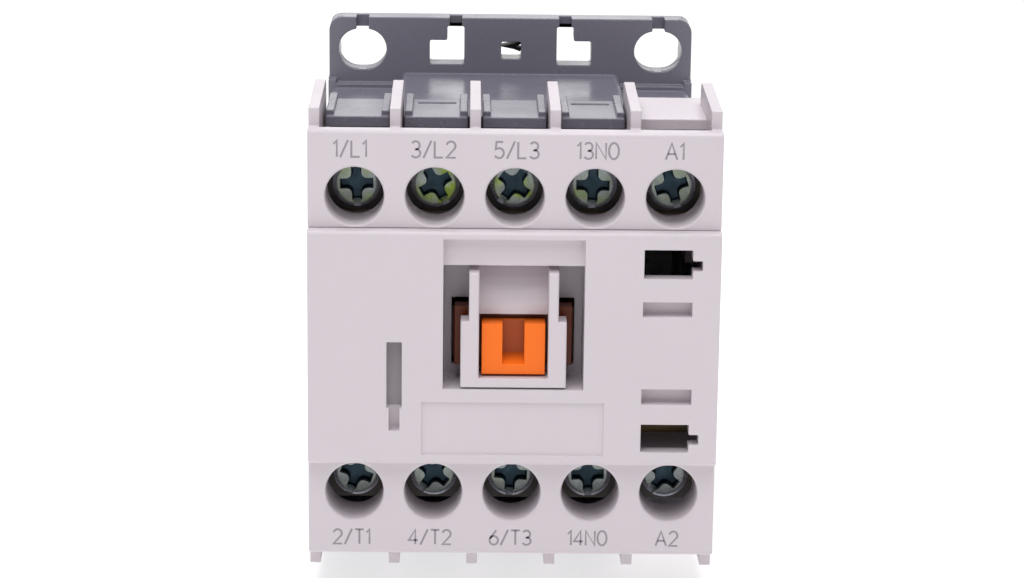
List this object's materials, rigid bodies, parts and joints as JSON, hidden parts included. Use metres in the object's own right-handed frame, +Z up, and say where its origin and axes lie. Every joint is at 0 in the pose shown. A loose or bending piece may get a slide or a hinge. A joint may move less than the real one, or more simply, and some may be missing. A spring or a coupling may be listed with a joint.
{
  "type": "magnetic motor starter",
  "caption": "Compact magnetic motor starter with screw terminals above and below, a windowed slider and a rear flange for panel or rail.",
  "frame": {"origin": "centre of the four panel screws, in the mounting plane", "axes": "+Z up, +X to the right seen from the front, the front faces -Y"},
  "size_m": [0.045, 0.057, 0.058],
  "materials": {
    "housing_plastic": "satin",
    "base_plastic": "satin gloss",
    "orange_plastic": "satin",
    "lamination_steel": "ground pole faces",
    "plated_steel": "zinc plated",
    "spring_steel": "bright wire",
    "black_spring": "blackened",
    "copper": "bright copper",
    "contact_brass": "bright",
    "rubber_pad": "matt",
    "bobbin_plastic": "natural",
    "enamelled_copper": "enamelled wire",
    "latch_plastic": "satin gloss",
    "zinc_screw": "zinc plated, yellow-green passivated",
    "zinc_washer": "zinc plated"
  },
  "bodies": {
    "starter": {"base_frame": "base_plastic", "arc_chamber": "housing_plastic", "front_cover": "housing_plastic", "terminal_cover_top": "housing_plastic", "terminal_cover_bottom": "housing_plastic", "fixed_core": "lamination_steel", "shading_rings": "copper", "core_pad": "rubber_pad", "coil_bobbin": "bobbin_plastic", "coil_winding": "enamelled_copper", "return_springs": "spring_steel", "din_latch_spring": "spring_steel", "rail_spring": "black_spring", "terminal_l1": "contact_brass", "terminal_l2": "contact_brass", "terminal_l3": "contact_brass", "terminal_13": "contact_brass", "terminal_a1": "contact_brass", "terminal_t1": "contact_brass", "terminal_t2": "contact_brass", "terminal_t3": "contact_brass", "terminal_14": "contact_brass", "terminal_a2": "contact_brass"},
    "carrier": {"contact_carrier": "orange_plastic", "armature": "lamination_steel", "armature_pin": "plated_steel", "contact_springs": "spring_steel"},
    "din_latch": {"din_latch": "latch_plastic"},
    "bridge_1": {"bridge_contact_1": "contact_brass"},
    "bridge_2": {"bridge_contact_2": "contact_brass"},
    "bridge_3": {"bridge_contact_3": "contact_brass"},
    "bridge_4": {"bridge_contact_4": "contact_brass"},
    "clamp_l1": {"washer_l1": "zinc_washer"},
    "screw_l1": {"screw_l1": "zinc_screw"},
    "clamp_l2": {"washer_l2": "zinc_washer"},
    "screw_l2": {"screw_l2": "zinc_screw"},
    "clamp_l3": {"washer_l3": "zinc_washer"},
    "screw_l3": {"screw_l3": "zinc_screw"},
    "clamp_13": {"washer_13": "zinc_washer"},
    "screw_13": {"screw_13": "zinc_screw"},
    "clamp_a1": {"washer_a1": "zinc_washer"},
    "screw_a1": {"screw_a1": "zinc_screw"},
    "clamp_t1": {"washer_t1": "zinc_washer"},
    "screw_t1": {"screw_t1": "zinc_screw"},
    "clamp_t2": {"washer_t2": "zinc_washer"},
    "screw_t2": {"screw_t2": "zinc_screw"},
    "clamp_t3": {"washer_t3": "zinc_washer"},
    "screw_t3": {"screw_t3": "zinc_screw"},
    "clamp_14": {"washer_14": "zinc_washer"},
    "screw_14": {"screw_14": "zinc_screw"},
    "clamp_a2": {"washer_a2": "zinc_washer"},
    "screw_a2": {"screw_a2": "zinc_screw"}
  },
  "joints": [
    {"name": "carrier_travel", "type": "slide", "parent": "starter", "child": "carrier", "axis": [0, 1, 0], "range_m": [0, 0.004], "stiffness_N_per_m": 500, "springref_m": -0.003, "deforming": ["return_springs"]},
    {"name": "bridge_1_wipe", "type": "slide", "parent": "carrier", "child": "bridge_1", "axis": [0, 1, 0], "range_m": [-0.0015, 0], "deforming": ["contact_springs"]},
    {"name": "bridge_2_wipe", "type": "slide", "parent": "carrier", "child": "bridge_2", "axis": [0, 1, 0], "range_m": [-0.0015, 0]},
    {"name": "bridge_3_wipe", "type": "slide", "parent": "carrier", "child": "bridge_3", "axis": [0, 1, 0], "range_m": [-0.0015, 0]},
    {"name": "bridge_4_wipe", "type": "slide", "parent": "carrier", "child": "bridge_4", "axis": [0, 1, 0], "range_m": [-0.0015, 0]},
    {"name": "clamp_l1_lift", "type": "slide", "parent": "starter", "child": "clamp_l1", "axis": [0, -1, 0], "range_m": [0, 0.0024]},
    {"name": "screw_l1_turn", "type": "hinge", "parent": "clamp_l1", "child": "screw_l1", "pos_m": [-0.01742, -0.0487, 0.01672], "axis": [0, 1, 0], "range_deg": [-1440, 0]},
    {"name": "clamp_l2_lift", "type": "slide", "parent": "starter", "child": "clamp_l2", "axis": [0, -1, 0], "range_m": [0, 0.0024]},
    {"name": "screw_l2_turn", "type": "hinge", "parent": "clamp_l2", "child": "screw_l2", "pos_m": [-0.00871, -0.0487, 0.01672], "axis": [0, 1, 0], "range_deg": [-1440, 0]},
    {"name": "clamp_l3_lift", "type": "slide", "parent": "starter", "child": "clamp_l3", "axis": [0, -1, 0], "range_m": [0, 0.0024]},
    {"name": "screw_l3_turn", "type": "hinge", "parent": "clamp_l3", "child": "screw_l3", "pos_m": [0, -0.0487, 0.01672], "axis": [0, 1, 0], "range_deg": [-1440, 0]},
    {"name": "clamp_13_lift", "type": "slide", "parent": "starter", "child": "clamp_13", "axis": [0, -1, 0], "range_m": [0, 0.0024]},
    {"name": "screw_13_turn", "type": "hinge", "parent": "clamp_13", "child": "screw_13", "pos_m": [0.00871, -0.0487, 0.01672], "axis": [0, 1, 0], "range_deg": [-1440, 0]},
    {"name": "clamp_a1_lift", "type": "slide", "parent": "starter", "child": "clamp_a1", "axis": [0, -1, 0], "range_m": [0, 0.0024]},
    {"name": "screw_a1_turn", "type": "hinge", "parent": "clamp_a1", "child": "screw_a1", "pos_m": [0.01742, -0.0487, 0.01672], "axis": [0, 1, 0], "range_deg": [-1440, 0]},
    {"name": "clamp_t1_lift", "type": "slide", "parent": "starter", "child": "clamp_t1", "axis": [0, -1, 0], "range_m": [0, 0.0024]},
    {"name": "screw_t1_turn", "type": "hinge", "parent": "clamp_t1", "child": "screw_t1", "pos_m": [-0.01742, -0.0487, -0.01672], "axis": [0, 1, 0], "range_deg": [-1440, 0]},
    {"name": "clamp_t2_lift", "type": "slide", "parent": "starter", "child": "clamp_t2", "axis": [0, -1, 0], "range_m": [0, 0.0024]},
    {"name": "screw_t2_turn", "type": "hinge", "parent": "clamp_t2", "child": "screw_t2", "pos_m": [-0.00871, -0.0487, -0.01672], "axis": [0, 1, 0], "range_deg": [-1440, 0]},
    {"name": "clamp_t3_lift", "type": "slide", "parent": "starter", "child": "clamp_t3", "axis": [0, -1, 0], "range_m": [0, 0.0024]},
    {"name": "screw_t3_turn", "type": "hinge", "parent": "clamp_t3", "child": "screw_t3", "pos_m": [0, -0.0487, -0.01672], "axis": [0, 1, 0], "range_deg": [-1440, 0]},
    {"name": "clamp_14_lift", "type": "slide", "parent": "starter", "child": "clamp_14", "axis": [0, -1, 0], "range_m": [0, 0.0024]},
    {"name": "screw_14_turn", "type": "hinge", "parent": "clamp_14", "child": "screw_14", "pos_m": [0.00871, -0.0487, -0.01672], "axis": [0, 1, 0], "range_deg": [-1440, 0]},
    {"name": "clamp_a2_lift", "type": "slide", "parent": "starter", "child": "clamp_a2", "axis": [0, -1, 0], "range_m": [0, 0.0024]},
    {"name": "screw_a2_turn", "type": "hinge", "parent": "clamp_a2", "child": "screw_a2", "pos_m": [0.01742, -0.0487, -0.01672], "axis": [0, 1, 0], "range_deg": [-1440, 0]},
    {"name": "din_latch_slide", "type": "slide", "parent": "starter", "child": "din_latch", "axis": [0, 0, -1], "range_m": [0, 0.003], "stiffness_N_per_m": 1500, "springref_m": -0.002, "deforming": ["din_latch_spring"]}
  ],
  "couplings": [
    {"joint": "bridge_1_wipe", "follows": "carrier_travel", "ratio": -0.35},
    {"joint": "bridge_2_wipe", "follows": "carrier_travel", "ratio": -0.35},
    {"joint": "bridge_3_wipe", "follows": "carrier_travel", "ratio": -0.35},
    {"joint": "bridge_4_wipe", "follows": "carrier_travel", "ratio": -0.35},
    {"joint": "screw_l1_turn", "follows": "clamp_l1_lift", "rad_per_m": -10472},
    {"joint": "screw_l2_turn", "follows": "clamp_l2_lift", "rad_per_m": -10472},
    {"joint": "screw_l3_turn", "follows": "clamp_l3_lift", "rad_per_m": -10472},
    {"joint": "screw_13_turn", "follows": "clamp_13_lift", "rad_per_m": -10472},
    {"joint": "screw_a1_turn", "follows": "clamp_a1_lift", "rad_per_m": -10472},
    {"joint": "screw_t1_turn", "follows": "clamp_t1_lift", "rad_per_m": -10472},
    {"joint": "screw_t2_turn", "follows": "clamp_t2_lift", "rad_per_m": -10472},
    {"joint": "screw_t3_turn", "follows": "clamp_t3_lift", "rad_per_m": -10472},
    {"joint": "screw_14_turn", "follows": "clamp_14_lift", "rad_per_m": -10472},
    {"joint": "screw_a2_turn", "follows": "clamp_a2_lift", "rad_per_m": -10472}
  ]
}
